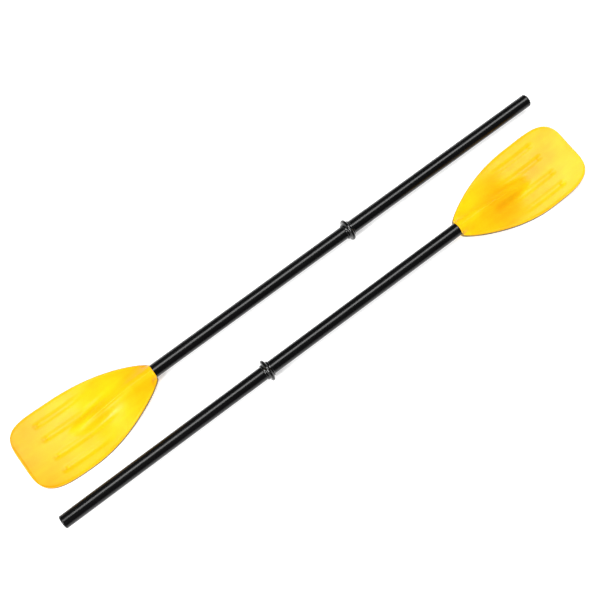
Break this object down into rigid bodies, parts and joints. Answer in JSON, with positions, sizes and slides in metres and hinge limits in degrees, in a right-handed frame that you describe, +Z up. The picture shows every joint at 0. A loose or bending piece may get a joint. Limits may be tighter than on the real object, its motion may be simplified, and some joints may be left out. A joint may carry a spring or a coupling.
{
  "type": "boat oar pair",
  "caption": "Pair of take-apart boat oars: ribbed plastic blades on two-piece tube shafts with sliding oarlock rings and snap buttons.",
  "frame": {"origin": "on the ground under the middle of the pair, at the bottom centre of its box", "axes": "X along the shafts, with oar A's blade towards -X and oar B's towards +X; Y across the pair, oar A on the +Y side; Z up"},
  "size_m": [1.22, 0.283, 0.046],
  "materials": {
    "blade": "satin moulded",
    "tube": "gloss",
    "ferrule": "matte",
    "ring": "gloss",
    "cap": "satin",
    "rivet": "satin",
    "button": "satin",
    "spring": "satin"
  },
  "bodies": {
    "oar_a": {"blade_a": "blade", "blade_tube_a": "tube", "ferrule_a": "ferrule", "blade_rivet_a": "rivet", "ferrule_rivet_a": "rivet", "snap_spring_a": "spring"},
    "handle_section_a": {"handle_tube_a": "tube", "end_cap_a": "cap"},
    "ring_a": {"oar_ring_a": "ring"},
    "button_a": {"snap_button_a": "button"},
    "oar_b": {"blade_b": "blade", "blade_tube_b": "tube", "ferrule_b": "ferrule", "blade_rivet_b": "rivet", "ferrule_rivet_b": "rivet", "snap_spring_b": "spring"},
    "handle_section_b": {"handle_tube_b": "tube", "end_cap_b": "cap"},
    "ring_b": {"oar_ring_b": "ring"},
    "button_b": {"snap_button_b": "button"}
  },
  "joints": [
    {"name": "lift_oar_b", "type": "slide", "parent": "oar_a", "child": "oar_b", "axis": [0, 0, 1], "range_m": [0, 0.15]},
    {"name": "handle_pull_a", "type": "slide", "parent": "oar_a", "child": "handle_section_a", "axis": [1, 0, 0], "range_m": [0, 0.12], "deforming": ["snap_button_a", "snap_spring_a"]},
    {"name": "ring_slide_a", "type": "slide", "parent": "oar_a", "child": "ring_a", "axis": [-1, 0, 0], "range_m": [-0.015, 0.25]},
    {"name": "button_press_a", "type": "slide", "parent": "oar_a", "child": "button_a", "axis": [0, 0, 1], "range_m": [0, 0.0042], "stiffness_N_per_m": 2000, "springref_m": -0.003, "deforming": ["snap_spring_a"]},
    {"name": "handle_pull_b", "type": "slide", "parent": "oar_b", "child": "handle_section_b", "axis": [-1, 0, 0], "range_m": [0, 0.12], "deforming": ["snap_button_b", "snap_spring_b"]},
    {"name": "ring_slide_b", "type": "slide", "parent": "oar_b", "child": "ring_b", "axis": [1, 0, 0], "range_m": [-0.015, 0.25]},
    {"name": "button_press_b", "type": "slide", "parent": "oar_b", "child": "button_b", "axis": [0, 0, 1], "range_m": [0, 0.0042], "stiffness_N_per_m": 2000, "springref_m": -0.003, "deforming": ["snap_spring_b"]}
  ]
}
